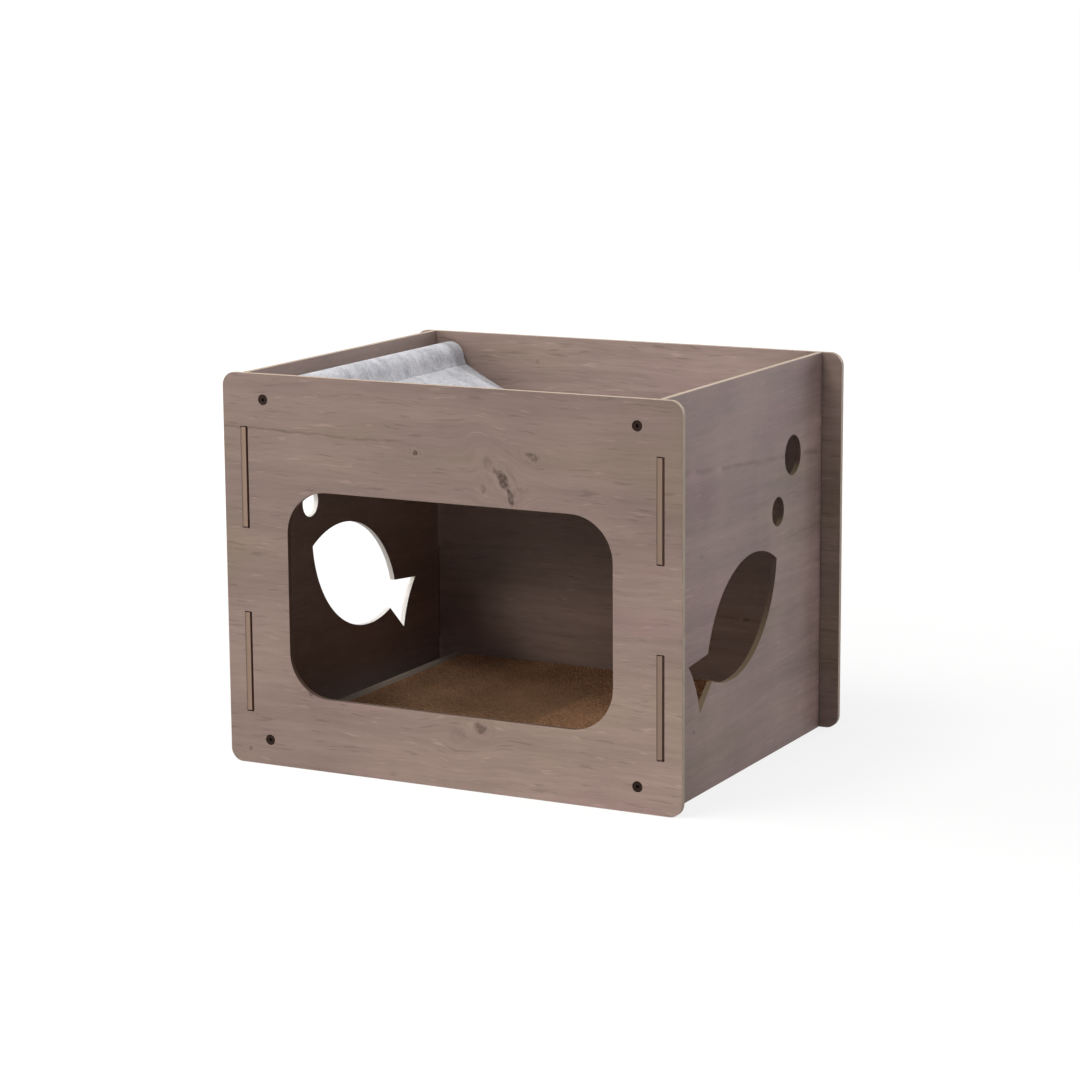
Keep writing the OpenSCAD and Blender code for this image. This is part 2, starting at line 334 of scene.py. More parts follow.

# One board's print: the axes of its thickness and grain, the noise seed, the strength of the grain
# and of soft upright bands, the painted floor bounce that darkens it towards the top, the painted
# light on its lower right corner, the wood's colour, and the painted shade and light on cut-outs'
# walls facing sideways and up
Look = namedtuple("Look", "thickness grain seed contrast upright fade corner wood side up")
LOOKS = {
    "front_panel": Look("Y", "X", 1.3, 1.3, 0.0, 0.06, 0.47, WOOD, CUT_SHADE, CUT_SHADE),
    "back_panel": Look("Y", "X", 21.7, 1.5, 0.0, 0.0, 0.0, WOOD, CUT_SHADE, CUT_SHADE),
    "left_panel": Look("X", "Y", 41.9, 1.2, 0.0, 0.0, 0.0, WOOD, CUT_LIT, CUT_LIT),
    "right_panel": Look("X", "Y", 63.1, 2.1, 0.42, 0.0, 0.22, WOOD_LIT_RIGHT, CUT_SHADE, CUT_LIT_OLIVE),
}
# Knots: place along the board, height, half-width and half-height in mm, lean and depth
KNOTS = {
    "front_panel": (
        (-29.5, 295.6, 3.0, 2.6, 0.0, 0.95),
        (85.0, 300.0, 6.8, 4.4, 0.4, 0.60),
        (56.4, 277.0, 6.6, 10.5, 0.55, 0.90),
        (63.5, 262.0, 2.8, 9.0, 0.25, 0.75),
        (44.0, 289.5, 6.0, 8.0, 0.4, 0.28),
        (37.5, 268.0, 3.5, 6.5, 0.0, 0.30),
        (74.0, 270.0, 9.0, 2.6, 0.0, 0.22),
        (32.5, 57.5, 6.6, 6.4, 0.15, 0.60),
        (10.0, 48.0, 10.0, 9.0, 0.0, 0.12),
        (-139.6, 70.0, 3.2, 2.8, 0.0, 0.55),
        (-204.0, 13.0, 2.6, 2.2, 0.0, 0.45),
    ),
    "back_panel": (
        (-90.0, 330.0, 3.0, 2.4, 0.0, 0.30),
        (20.0, 120.0, 5.0, 4.0, 0.4, 0.40),
        (130.0, 96.0, 4.0, 3.0, 0.0, 0.40),
    ),
    "left_panel": ((40.0, 250.0, 3.0, 2.4, 0.0, 0.35), (-60.0, 318.0, 2.4, 2.0, 0.0, 0.35)),
    "right_panel": ((-111.0, 58.0, 3.4, 3.4, 0.3, 0.40), (-96.0, 210.0, 2.6, 2.2, 0.0, 0.30)),
}
# Lines: height at the board's middle in mm, slope, start, end and half-width in mm, and depth
LINES = {
    "front_panel": (
        (302.0, -0.022, -240.0, -30.0, 1.8, 0.40),
        (296.0, 0.0, -52.0, -24.0, 1.4, 0.22),
        (322.0, 0.0, -185.0, -140.0, 1.6, 0.24),
        (240.0, 0.01, 150.0, 240.0, 1.4, 0.22),
    ),
    "back_panel": ((300.0, 0.02, -240.0, 240.0, 1.8, 0.2), (98.0, -0.02, 40.0, 240.0, 2.6, 0.34)),
    "left_panel": ((300.0, -0.02, -190.0, 60.0, 1.8, 0.22),),
    "right_panel": ((276.0, -0.07, -190.0, 190.0, 4.0, 0.50), (196.0, 0.0, 80.0, 190.0, 2.2, 0.24)),
}


def knot_field(graph, x, z, knots):
    """Bends the grain height z round each knot, and sums up the knots' darkness."""
    spot = graph.vector(x, 0.0, z)
    warped_x = graph.total(x, graph.swing(graph.noise(spot, KNOT_SIDE), KNOT_WARP_X))
    warped_z = graph.total(z, graph.swing(graph.noise(spot, KNOT_RISE), KNOT_WARP_Z))
    mottle = graph.step(graph.noise(spot, KNOT_MOTTLE), *MOTTLE_RANGE)
    bent = z
    dark = 0.0
    for along, height, wide, tall, lean, depth in knots:
        up = graph.math("SUBTRACT", warped_z, height * MM)
        aside = graph.math("SUBTRACT", graph.total(warped_x, graph.times(up, lean)), along * MM)
        off_x = graph.times(aside, 1 / (wide * MM))
        off_z = graph.times(up, 1 / (tall * MM))
        apart = graph.total(graph.times(off_x, off_x), graph.times(off_z, off_z))
        near = graph.math("EXPONENT", graph.times(apart, KNOT_FALLOFF))
        rise = graph.math("SUBTRACT", z, height * MM)
        bent = graph.math("SUBTRACT", bent, graph.times(rise, near, KNOT_BEND))
        core = graph.step(apart, *KNOT_CORE, depth, 0.0)
        rings = graph.math("SINE", graph.times(graph.math("SQRT", apart), RING_RATE))
        ring = graph.times(near, rings, depth * RING_SHARE)
        dark = graph.total(dark, graph.times(core, mottle), ring)
    return bent, dark


def line_field(graph, x, z, lines):
    """Darkness of thin dark lines that wander along the grain."""
    dark = 0.0
    for height, slope, start, end, width, depth in lines:
        wander = graph.noise(graph.vector(x, 0.0, 0.0), LINE_WANDER, height)
        level = graph.total(graph.times(x, slope), graph.swing(wander, LINE_SWING), height * MM)
        apart = graph.math("ABSOLUTE", graph.math("SUBTRACT", z, level))
        across = graph.step(apart, 0.0, width * MM, depth, 0.0)
        within = graph.times(
            graph.step(x, start * MM, (start + LINE_START) * MM),
            graph.step(x, (end - LINE_END) * MM, end * MM, 1.0, 0.0),
        )
        broken = graph.noise(graph.vector(x, 0.0, height), LINE_BREAKS)
        dark = graph.total(dark, graph.times(across, within, graph.step(broken, *LINE_GAPS)))
    return dark


def wood_colour(graph, x, z, wood, seed):
    """The wood's colour with greener and rosier patches, and greener ends."""
    tint = graph.noise(graph.vector(x, 0.0, z), TINTS, seed)
    tint = graph.math("SUBTRACT", tint, graph.step(graph.math("ABSOLUTE", x), *GREEN_ENDS))
    greener = tuple(a * b for a, b in zip(wood, GREENER))
    rosier = tuple(a * b for a, b in zip(wood, ROSIER))
    cooler = graph.mix(graph.step(tint, *GREEN_RANGE), greener, wood)
    return graph.mix(graph.step(tint, *ROSE_RANGE), cooler, rosier)


def wood_print(graph, look, knots, lines):
    """Colour and grain height of the printed faces."""
    parts = graph.split(graph.place())
    x, z = parts[look.grain], parts["Z"]
    spot = graph.vector(x, 0.0, z)
    bent, knot_dark = knot_field(graph, x, z, knots)
    sway = graph.noise(spot, SWAY, look.seed)
    ripple = graph.noise(spot, RIPPLE, look.seed)
    level = graph.total(bent, graph.swing(sway, SWAY_SIZE), graph.swing(ripple, RIPPLE_SIZE))
    grain = graph.vector(x, 0.0, level)
    bands = graph.noise(grain, BANDS, look.seed)
    streaks = graph.noise(grain, STREAKS, look.seed)
    fibres = graph.noise(grain, FIBRES, look.seed)
    pores = graph.step(graph.noise(grain, PORES, look.seed), *PORE_RANGE)
    flecks = graph.step(graph.noise(grain, FLECKS, look.seed), *FLECK_RANGE)
    clouds = graph.noise(spot, CLOUDS, look.seed)
    uprights = graph.noise(spot, UPRIGHTS, look.seed)
    value = graph.total(
        1.0,
        graph.swing(bands, BAND_SHARE * look.contrast),
        graph.swing(streaks, STREAK_SHARE * look.contrast),
        graph.swing(fibres, FIBRE_SHARE * look.contrast),
        graph.swing(clouds, CLOUD_SHARE * look.contrast),
        graph.swing(uprights, look.upright),
        graph.times(pores, PORE_SHARE),
        graph.times(flecks, FLECK_SHARE),
    )
    dark = graph.total(knot_dark, line_field(graph, x, z, lines))
    # Painted light: a lighter lower right corner, and floor bounce that lightens the board towards
    # the bottom and darkens it towards the top
    to_right = graph.step(x, *LIT_CORNER_RANGE)
    corner_light = graph.times(to_right, graph.step(z, 0.0, LIT_CORNER_TOP, look.corner, 0.0))
    painted_light = graph.total(graph.step(z, 0.0, BOARD_H, 1.0 + look.fade, 1.0 - look.fade), corner_light)
    height = graph.total(
        streaks, graph.times(fibres, FIBRE_HEIGHT), graph.times(pores, PORE_HEIGHT)
    )
    plain = wood_colour(graph, x, z, look.wood, look.seed)
    return graph.shade(graph.mix(dark, plain, KNOT), graph.times(value, painted_light)), height


def raw_fibre(graph):
    """Colour and height of sawn fibreboard."""
    where = graph.place()
    fine = graph.noise(where, SAWDUST)
    layers = graph.noise(where, PRESSED)
    mixed = graph.total(graph.times(fine, RAW_SHARE), graph.times(layers, 1 - RAW_SHARE))
    return graph.mix(graph.step(mixed, *RAW_RANGE), FIBRE_DARK, FIBRE_PALE), fine


def zone(graph, look, low, high):
    """1 between two distances from the board's middle, clear of its top and bottom edges."""
    parts = graph.split(graph.place())
    along = graph.math("ABSOLUTE", parts[look.grain])
    return graph.times(
        graph.math("GREATER_THAN", along, low),
        graph.math("LESS_THAN", along, high),
        graph.math("GREATER_THAN", parts["Z"], OUTLINE_BAND),
        graph.math("LESS_THAN", parts["Z"], BOARD_H - OUTLINE_BAND),
    )


def looks_along(graph, way):
    """1 where a normal's part along an axis is near 1 or -1."""
    return graph.math("GREATER_THAN", graph.math("ABSOLUTE", way), FACE_LIMIT)


def board_material(node):
    look = LOOKS[node]
    material, graph = new_graph(node + "_print")
    flat = graph.add("NewGeometry").outputs["True Normal"]
    turned = graph.add(
        "VectorTransform", {"Vector": flat},
        vector_type="NORMAL", convert_from="WORLD", convert_to="OBJECT",
    )
    ways = graph.split(turned.outputs[0])
    face = looks_along(graph, ways[look.thickness])
    end = looks_along(graph, ways["Y"])
    level = looks_along(graph, ways["Z"])
    jointed = zone(graph, look, *TAB_ZONE[look.thickness])
    worn = graph.add("Bevel", {"Radius": WEAR_RADIUS}, samples=WEAR_SAMPLES).outputs[0]
    soft_edge = graph.mix(jointed, worn, flat)
    agree = graph.add("VectorMath", {0: soft_edge, 1: flat}, operation="DOT_PRODUCT")
    wear = graph.step(agree.outputs["Value"], *WEAR_RANGE)
    printed, grain = wood_print(graph, look, KNOTS[node], LINES[node])
    printed = graph.mix(wear, printed, FIBRE_PALE)
    raw, fibre = raw_fibre(graph)
    # Painted shade: darker end faces on the side panels
    raw = graph.mix(end, raw, FIBRE_END_SHADE)
    # Painted light and shade on cut-out walls: the shaded colour where a wall faces sideways, the
    # lit colour where it faces up
    wall = graph.mix(graph.step(ways["Z"], *LIT_UP_RANGE), look.side, look.up)
    raw = graph.mix(zone(graph, look, *CUT_ZONE[look.thickness]), raw, wall)
    # Painted shade on the faces in the tab and slot zone that look up or down
    raw = graph.mix(graph.times(jointed, level), raw, TAB_SHADE)
    roughness = graph.step(grain, *PRINT_ROUGHNESS)
    if look.thickness == "X":
        # Painted shade on the tabs' printed sides inside the slots
        printed = graph.mix(jointed, printed, TAB_SHADE)
        roughness = graph.total(roughness, graph.times(jointed, TAB_DULL))
    graph.surface(
        Base_Color=graph.mix(face, raw, printed),
        Roughness=roughness,
        Normal=graph.bump(graph.mix(face, fibre, grain), PRINT_DEPTH, PRINT_STRENGTH, soft_edge),
        Specular_IOR_Level=BOARD_SPECULAR,
    )
    return material


def dress_boards():
    for node in LOOKS:
        dress(node, board_material(node))


# Rods and fasteners

# Dowel colours, darker than pale wood to stand for the shade on the lower rods
ROD_PALE = (0.37, 0.305, 0.25)
ROD_DARK = (0.26, 0.21, 0.17)
ROD_NODES = ("upper_left_rod", "upper_right_rod", "lower_left_rod", "lower_right_rod")
ROD_STREAKS = Texture((420.0, 9.0, 420.0), 4.0, 0.6, 2.0)
ROD_FIBRES = Texture((1800.0, 60.0, 1800.0), 2.0, 0.5, 5.0)
ROD_STREAK_SHARE = 0.7
ROD_FIBRE_SHARE = 0.3
ROD_RANGE = (0.32, 0.64)
ROD_ROUGHNESS = (0.3, 0.7, 0.5, 0.66)
ROD_DEPTH = 0.15 * MM
ROD_STRENGTH = 0.6
ROD_SPECULAR = 0.35
METAL_BLOTCHES = Texture((700.0, 700.0, 700.0), 4.0, 0.6, 1.0)
METAL_SCRATCHES = Texture((2600.0, 300.0, 2600.0), 2.0, 0.5, 6.0)
BRIGHT_RANGE = (0.40, 0.74)
ROUGH_RANGE = (0.3, 0.7)
SCRATCH_DEPTH = 0.02 * MM
SCRATCH_STRENGTH = 0.5
# One metal: its name, two colours, two roughnesses, how metallic it is and its specular level
Metal = namedtuple("Metal", "name dull bright smooth rough metallic specular")
BLACK_STEEL = Metal(
    "black_steel", (0.020, 0.010, 0.007), (0.045, 0.023, 0.016), 0.45, 0.62, 0.1, 0.12
)
ZINC = Metal("zinc", (0.42, 0.38, 0.28), (0.62, 0.58, 0.47), 0.28, 0.46, 1.0, 0.5)


def rod_material():
    material, graph = new_graph("dowel")
    where = graph.place()
    streaks = graph.noise(where, ROD_STREAKS)
    fibres = graph.noise(where, ROD_FIBRES)
    mixed = graph.total(
        graph.times(streaks, ROD_STREAK_SHARE), graph.times(fibres, ROD_FIBRE_SHARE)
    )
    graph.surface(
        Base_Color=graph.mix(graph.step(mixed, *ROD_RANGE), ROD_DARK, ROD_PALE),
        Roughness=graph.step(streaks, *ROD_ROUGHNESS),
        Normal=graph.bump(mixed, ROD_DEPTH, ROD_STRENGTH),
        Specular_IOR_Level=ROD_SPECULAR,
    )
    return material


def metal_material(metal):
    material, graph = new_graph(metal.name)
    where = graph.place()
    blotches = graph.noise(where, METAL_BLOTCHES)
    scratches = graph.noise(where, METAL_SCRATCHES)
    graph.surface(
        Base_Color=graph.mix(graph.step(blotches, *BRIGHT_RANGE), metal.dull, metal.bright),
        Roughness=graph.step(blotches, *ROUGH_RANGE, metal.smooth, metal.rough),
        Normal=graph.bump(scratches, SCRATCH_DEPTH, SCRATCH_STRENGTH),
        Metallic=metal.metallic,
        Specular_IOR_Level=metal.specular,
    )
    return material


def dress_hardware():
    dowel = rod_material()
    for node in ROD_NODES:
        dress(node, dowel)
    steel = metal_material(BLACK_STEEL)
    zinc = metal_material(ZINC)
    for end in ("front", "back"):
        dress(end + "_screws", steel)
        dress(end + "_inserts", zinc)


# Hammock: one strip of plush that wraps both upper rods and hangs between its seams

CLOTH = 3.2 * MM
CLOTH_FIT = 0.5 * MM
SEAM_SINK = 0.5 * MM
SEAM_OUT = 17 * MM
FLAP_REACH = 2 * MM
FLAP_END = 0.15 * MM
FLAP_TAPER = 10 * MM
FLAP_RISE = 0.35
FLAP_BACK = 0.94
SLING_SAG = 45 * MM
WRAP_FROM = math.radians(12)
WRAP_TO = math.radians(285)
ROD_LOW, ROD_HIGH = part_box("upper_left_rod")
ROD_X = (ROD_LOW.x + ROD_HIGH.x) / 2
ROD_Z = (ROD_LOW.z + ROD_HIGH.z) / 2
ROD_R = (ROD_HIGH.x - ROD_LOW.x) / 2
SLEEVE_MID = ROD_R + CLOTH_FIT + CLOTH / 2
SLING_SLOPE = math.atan(2 * SLING_SAG / (-ROD_X - SEAM_OUT))
SEAM_X = -ROD_X - SEAM_OUT * math.cos(SLING_SLOPE)
SEAM_Z = ROD_Z - SEAM_OUT * math.sin(SLING_SLOPE)
HAMMOCK_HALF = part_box("hammock")[1].y
# Points of the middle line: on the flap, round the rod, down to the seam and along half the sling
FLAP_STEPS, WRAP_STEPS, JOIN_STEPS, SLING_STEPS = 14, 26, 14, 80
STRIP_STEP = 2.0 * MM
# Rows across the strip, and those at each hem, with the shares of the half-width that they reach
ROW_STEPS = 120
ROW_REACH = 0.982
HEM_ROWS = 3
HEM_REACH = 0.014
# Folds: their height, and how many degrees they turn from the middle to a hem and to a seam
FOLD_H = 3.0 * MM
FOLD_TO_HEM = 270
FOLD_TO_SEAM = 150
CREASE_H = 1.2 * MM
CREASE_CELLS = (3.0, 5.0)
CREASE_SEED = 4.0
# Painted shade along the hems, where the cloth curls down: the band's width, which also sets the
# curl, the width of its darkest part, and how dark that part is
HEM_BAND = 24 * MM
HEM_SEAM = 17 * MM
HEM_SHADE = 0.64
HEM_CURL = 4.5 * MM
HEM_RAMP = 4
HEM_ROUND = CLOTH * 0.8
# The sleeve's ripples: their size, where they fade in, cells per metre and shares
ROLL_RIPPLE = 1.8 * MM
ROLL_FADE = 8 * MM
ROLL_FINE = (30.0, 70.0)
ROLL_BROAD = (9.0, 22.0)
ROLL_SEED = 7.0
ROLL_SHARES = (0.55, 0.6, 0.5)
# The pile: its size, cells per metre of the finer and coarser tufts, and the coarser ones' share
PILE = 0.35 * MM
PILE_FINE = 420.0
PILE_COARSE = 190.0
PILE_SHARE = 0.7


def hermite(start, leave, end, arrive, t):
    reach = (end - start).length
    return (
        (2 * t ** 3 - 3 * t ** 2 + 1) * start + (t ** 3 - 2 * t ** 2 + t) * reach * leave
        + (3 * t ** 2 - 2 * t ** 3) * end + (t ** 3 - t ** 2) * reach * arrive
    )


def wrap_at(angle):
    return Vector((ROD_X, ROD_Z)) + SLEEVE_MID * Vector((math.cos(angle), math.sin(angle)))


def wrap_way(angle):
    return Vector((-math.sin(angle), math.cos(angle)))


def left_line():
    """Middle line of the strip in X and Z, from the left flap's edge to the middle of the sling."""
    sling_way = Vector((math.cos(SLING_SLOPE), -math.sin(SLING_SLOPE)))
    sling_up = Vector((math.sin(SLING_SLOPE), math.cos(SLING_SLOPE)))
    seam = Vector((-SEAM_X, SEAM_Z))
    flap_edge = seam + FLAP_REACH * sling_way + (CLOTH / 2 - SEAM_SINK) * sling_up
    flap_way = (FLAP_RISE * sling_up - FLAP_BACK * sling_way).normalized()
    points = [
        hermite(flap_edge, flap_way, wrap_at(WRAP_FROM), wrap_way(WRAP_FROM), i / FLAP_STEPS)
        for i in range(FLAP_STEPS)
    ]
    points += [
        wrap_at(WRAP_FROM + (WRAP_TO - WRAP_FROM) * i / WRAP_STEPS) for i in range(WRAP_STEPS)
    ]
    points += [
        hermite(wrap_at(WRAP_TO), wrap_way(WRAP_TO), seam, sling_way, i / JOIN_STEPS)
        for i in range(JOIN_STEPS)
    ]
    for i in range(SLING_STEPS + 1):
        x = -SEAM_X * (1 - i / SLING_STEPS)
        points.append(Vector((x, SEAM_Z - SLING_SAG * (1 - (x / SEAM_X) ** 2))))
    return points


def strip_line():
    """Points of the whole strip's middle line, one step apart."""
    half = left_line()
    dense = half + [Vector((-p.x, p.y)) for p in reversed(half[:-1])]
    reach = [0.0]
    for a, b in zip(dense, dense[1:]):
        reach.append(reach[-1] + (b - a).length)
    count = round(reach[-1] / STRIP_STEP)
    points = []
    k = 0
    for i in range(count + 1):
        goal = reach[-1] * i / count
        while k < len(reach) - 2 and reach[k + 1] < goal:
            k += 1
        share = (goal - reach[k]) / (reach[k + 1] - reach[k])
        points.append(dense[k].lerp(dense[k + 1], min(max(share, 0.0), 1.0)))
    return points, reach[-1]


def normals_of(points):
    """Unit normals on the strip's upper side."""
    result = []
    for i in range(len(points)):
        way = points[min(i + 1, len(points) - 1)] - points[max(i - 1, 0)]
        result.append(Vector((-way.y, way.x)).normalized())
    return result


def sling_fold(x, y):
    """Rise of the sling's folds: they run in from both seams at a slant, and the hems curl down."""
    u = x / SEAM_X
    v = y / HAMMOCK_HALF
    if abs(u) >= 1:
        return 0.0
    slant = math.sin(math.radians(FOLD_TO_HEM * v + FOLD_TO_SEAM * u))
    fold = FOLD_H * math.sin(math.pi * (1 - abs(u))) * slant
    where = Vector((u * CREASE_CELLS[0], v * CREASE_CELLS[1], CREASE_SEED))
    crease = CREASE_H * (1 - u * u) * noise.noise(where)
    inside = min((HAMMOCK_HALF - abs(y)) / HEM_BAND, 1.0)
    curl = HEM_CURL * min(HEM_RAMP * (1 - abs(u)), 1.0) * (1 - inside) ** 2
    return fold + crease - curl


def roll_swell(point, y):
    """How far the sleeve's outside swells in soft ripples round the rod."""
    away = abs(point.x) - SEAM_X
    near = min(max(away / ROLL_FADE, 0.0), 1.0)
    across, along = ROLL_FINE
    fine = noise.noise(Vector((point.x * across, y * along, point.y * across)))
    across, along = ROLL_BROAD
    broad = noise.noise(Vector((point.x * across, y * along, ROLL_SEED)))
    base, fine_share, broad_share = ROLL_SHARES
    return near * ROLL_RIPPLE * (base + fine_share * fine + broad_share * broad)


def pile(point, y):
    where = Vector((point.x, y, point.y))
    return PILE * (noise.noise(where * PILE_FINE) + PILE_SHARE * noise.noise(where * PILE_COARSE))


def flap_share(reach, width):
    """Share of the full thickness near the strip's two sewn ends, at so far along the strip."""
    from_end = min(reach, width - reach) / FLAP_TAPER
    thinnest = FLAP_END / (CLOTH / 2)
    return thinnest + (1 - thinnest) * min(from_end, 1.0)


def round_hem(y):
    """Share of the full thickness near the strip's cut ends."""
    inside = HAMMOCK_HALF - abs(y)
    if inside >= HEM_ROUND:
        return 1.0
    return math.sqrt(max(1 - (1 - inside / HEM_ROUND) ** 2, 0.0))


def hammock_rows():
    """Places across the strip, closer together at its hems."""
    inner = [ROW_REACH * (-1 + 2 * i / ROW_STEPS) for i in range(ROW_STEPS + 1)]
    hems = [1 - HEM_REACH * (1 - math.cos(math.pi / 2 * i / HEM_ROWS)) for i in range(HEM_ROWS)]
    return [HAMMOCK_HALF * v for v in sorted(inner + hems + [-v for v in hems])]


def make_hammock():
    line, width = strip_line()
    normals = normals_of(line)
    rows = hammock_rows()
    mesh = bmesh.new()
    faces = {1: [], -1: []}
    for side in faces:
        for y in rows:
            row = []
            for i, (point, normal) in enumerate(zip(line, normals)):
                fold = sling_fold(point.x, y)
                half = CLOTH / 2 * flap_share(width * i / (len(line) - 1), width) * round_hem(y)
                if side > 0:
                    half += pile(point, y) * round_hem(y)
                outward = roll_swell(point, y) if side > 0 else 0.0
                spot = point + normal * (side * half + outward * round_hem(y))
                row.append(mesh.verts.new((spot.x, y, spot.y + fold)))
            faces[side].append(row)
    upper, lower = faces[1], faces[-1]
    last = len(line) - 1
    for a, b, c, d in zip(upper, upper[1:], lower, lower[1:]):
        for i in range(last):
            mesh.faces.new((a[i], a[i + 1], b[i + 1], b[i]))
            mesh.faces.new((c[i], d[i], d[i + 1], c[i + 1]))
        mesh.faces.new((a[0], b[0], d[0], c[0]))
        mesh.faces.new((a[last], c[last], d[last], b[last]))
    for i in range(last):
        mesh.faces.new((upper[0][i], lower[0][i], lower[0][i + 1], upper[0][i + 1]))
        mesh.faces.new((upper[-1][i], upper[-1][i + 1], lower[-1][i + 1], lower[-1][i]))
    bmesh.ops.recalc_face_normals(mesh, faces=mesh.faces)
    piece = mesh_object("plush_hammock", mesh, plush_material())
    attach(piece, "carcass")
    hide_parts("hammock")


def mesh_object(name, mesh, material, smooth=True):
    data = bpy.data.meshes.new(name)
    mesh.to_mesh(data)
    mesh.free()
    data.materials.append(material)
    for polygon in data.polygons:
        polygon.use_smooth = smooth
    piece = bpy.data.objects.new(name, data)
    bpy.context.scene.collection.objects.link(piece)
    return piece


PLUSH_PALE = (0.74, 0.74, 0.775)
PLUSH_GREY = (0.40, 0.41, 0.45)
BRUSHED = Texture((38.0, 60.0, 38.0), 3.0, 0.6, 1.0)
TUFTS = Texture((330.0, 330.0, 330.0), 3.0, 0.6, 2.0)
HAIRS = Texture((1500.0, 1500.0, 1500.0), 2.0, 0.6, 3.0)
BRUSHED_SHARE = 0.5
TUFT_SHARE = 0.35
HAIR_SHARE = 0.15
TUFT_HEIGHT = 0.6
HAIR_HEIGHT = 0.4
PLUSH_RANGE = (0.34, 0.62)
PLUSH_ROUGHNESS = 0.95
PLUSH_DEPTH = 0.9 * MM
PLUSH_STRENGTH = 0.7
PLUSH_SPECULAR = 0.1
SHEEN = 0.35
SHEEN_ROUGHNESS = 0.45
SHEEN_TINT = (0.95, 0.95, 1.0)


def plush_material():
    material, graph = new_graph("plush")
    where = graph.place()
    brushed = graph.noise(where, BRUSHED)
    tufts = graph.noise(where, TUFTS)
    hairs = graph.noise(where, HAIRS)
    mixed = graph.total(
        graph.times(brushed, BRUSHED_SHARE),
        graph.times(tufts, TUFT_SHARE),
        graph.times(hairs, HAIR_SHARE),
    )
    height = graph.total(graph.times(tufts, TUFT_HEIGHT), graph.times(hairs, HAIR_HEIGHT))
    colour = graph.mix(graph.step(mixed, *PLUSH_RANGE), PLUSH_GREY, PLUSH_PALE)
    # Painted shade: darker along the hems, where the cloth curls down
    across = graph.math("ABSOLUTE", graph.split(where)["Y"])
    inside = graph.math("SUBTRACT", HAMMOCK_HALF, across)
    graph.surface(
        Base_Color=graph.shade(colour, graph.step(inside, HEM_SEAM, HEM_BAND, HEM_SHADE, 1.0)),
        Roughness=PLUSH_ROUGHNESS,
        Normal=graph.bump(height, PLUSH_DEPTH, PLUSH_STRENGTH),
        Sheen_Weight=SHEEN,
        Sheen_Roughness=SHEEN_ROUGHNESS,
        Sheen_Tint=SHEEN_TINT,
        Specular_IOR_Level=PLUSH_SPECULAR,
    )
    return material


# Scratch pads: liners and wavy fluting on edge, glued side by side

FLUTE = 4.5 * MM
LINER = 0.55 * MM
FLUTING = 0.42 * MM
WAVE = 8.6 * MM
WAVE_POINTS = 8
LINER_STEPS = 12
CORE_INSET = 1.5 * MM
# Shares of a pad's wear that the tops of its liners and fluting take, least and most
LINER_WEAR = (0.0, 0.5)
FLUTE_WEAR = (0.1, 1.0)
KRAFT_PALE = (0.470, 0.292, 0.174)
KRAFT_DARK = (0.315, 0.186, 0.105)
CARD_FIBRES = Texture((900.0, 900.0, 900.0), 3.0, 0.6, 0.0)
CARD_SPECKS = Texture((260.0, 260.0, 260.0), 2.0, 0.6, 1.0)
CARD_PATCHES = Texture((16.0, 16.0, 16.0), 2.0, 0.5, 2.0)
CARD_FIBRE_SHARE = 0.35
CARD_SPECK_SHARE = 0.4
CARD_PATCH_SHARE = 0.25
CARD_MIDDLE = 0.50
CARD_PATCH_SWING = 0.2
CARD_ROUGHNESS = (0.3, 0.7, 0.78, 0.92)
CARD_DEPTH = 0.1 * MM
CARD_STRENGTH = 0.6
CARD_SPECULAR = 0.2
# One pad: its node and body, the seed of its wear, how far its tops are worn and its cells crushed,
# and its card's name, noise seed, brightness and half-width of the step from dark to pale
Pad = namedtuple("Pad", "node body seed wear crush card card_seed level spread")
PADS = (
    Pad("left_scratch_pad", "left_pad", 5, 0.3 * MM, 0.9 * MM, "kraft_left", 11.0, 1.2, 0.14),
    Pad("right_scratch_pad", "right_pad", 9, 0.6 * MM, 1.2 * MM, "kraft_right", 31.0, 1.45, 0.08),
)


def add_ribbon(mesh, points, thickness, bottom, tops):
    """A closed upright ribbon along points in X and Y, with its own top height at each point."""
    rings = []
    for i, point in enumerate(points):
        way = points[min(i + 1, len(points) - 1)] - points[max(i - 1, 0)]
        aside = Vector((-way.y, way.x)).normalized() * (thickness / 2)
        rings.append([
            mesh.verts.new((point.x + aside.x, point.y + aside.y, bottom)),
            mesh.verts.new((point.x - aside.x, point.y - aside.y, bottom)),
            mesh.verts.new((point.x - aside.x, point.y - aside.y, tops[i])),
            mesh.verts.new((point.x + aside.x, point.y + aside.y, tops[i])),
        ])
    for a, b in zip(rings, rings[1:]):
        for k in range(len(a)):
            after = (k + 1) % len(a)
            mesh.faces.new((a[k], b[k], b[after], a[after]))
    mesh.faces.new(rings[0])
    mesh.faces.new(tuple(reversed(rings[-1])))


def add_block(mesh, low, high):
    made = bmesh.ops.create_cube(mesh, size=1.0)["verts"]
    bmesh.ops.scale(mesh, vec=high - low, verts=made)
    bmesh.ops.translate(mesh, vec=(low + high) / 2, verts=made)


